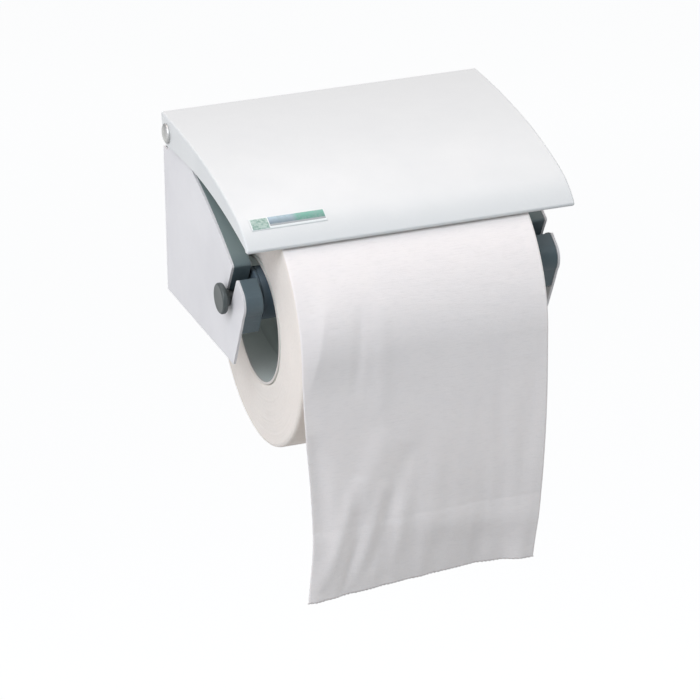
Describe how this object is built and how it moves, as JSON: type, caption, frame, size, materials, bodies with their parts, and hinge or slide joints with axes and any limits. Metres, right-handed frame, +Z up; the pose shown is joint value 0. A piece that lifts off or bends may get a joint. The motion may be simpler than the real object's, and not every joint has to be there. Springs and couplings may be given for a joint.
{
  "type": "toilet roll holder",
  "caption": "Wall-mounted holder for one toilet roll: folded bracket with slotted cheeks, hinged curved cover, spindle with knobs, and a paper roll.",
  "frame": {"origin": "middle of the two wall screw holes, on the wall plane", "axes": "+Z up, -Y out of the wall towards the user, +X to the user's right"},
  "size_m": [0.1384, 0.1253, 0.1639],
  "materials": {
    "bracket_paint": "white powder coat, satin",
    "cover_paint": "white powder coat, satin",
    "dark_plastic": "dark grey moulded, fine texture",
    "spindle_plastic": "dark grey moulded, fine texture",
    "knob_plastic": "dark grey moulded, satin",
    "foam_tape": "closed-cell foam",
    "label_film": "blank printed film",
    "rivet_steel": "zinc-plated",
    "washer_nylon": "natural nylon",
    "rod_steel": "blackened",
    "core_board": "grey-brown spiral-wound board",
    "tissue": "soft tissue, fine crepe",
    "tissue_sheet": "soft tissue, fine crepe"
  },
  "bodies": {
    "holder": {"wall_bracket": "bracket_paint", "side_liner_left": "dark_plastic", "side_liner_right": "dark_plastic", "liner_pad_left": "foam_tape", "liner_pad_right": "foam_tape", "hinge_rivet_left": "rivet_steel", "hinge_rivet_right": "rivet_steel", "hinge_washer_left": "washer_nylon", "hinge_washer_right": "washer_nylon", "paper_tail": "tissue_sheet"},
    "cover_flap": {"cover": "cover_paint", "blank_label": "label_film"},
    "spindle": {"spindle_rod": "rod_steel", "spindle_tube": "spindle_plastic", "tube_cap_left": "spindle_plastic", "tube_cap_right": "spindle_plastic", "knob_left": "knob_plastic", "knob_right": "knob_plastic"},
    "roll": {"cardboard_core": "core_board", "paper_roll": "tissue"}
  },
  "joints": [
    {"name": "cover_hinge", "type": "hinge", "parent": "holder", "child": "cover_flap", "pos_m": [0, -0.012, 0.035], "axis": [-1, 0, 0], "range_deg": [0, 98]},
    {"name": "spindle_spin", "type": "hinge", "parent": "holder", "child": "spindle", "pos_m": [0, -0.079, -0.0086], "axis": [1, 0, 0], "continuous": true},
    {"name": "roll_spin", "type": "hinge", "parent": "holder", "child": "roll", "pos_m": [0, -0.07425, -0.02166], "axis": [1, 0, 0], "continuous": true}
  ]
}
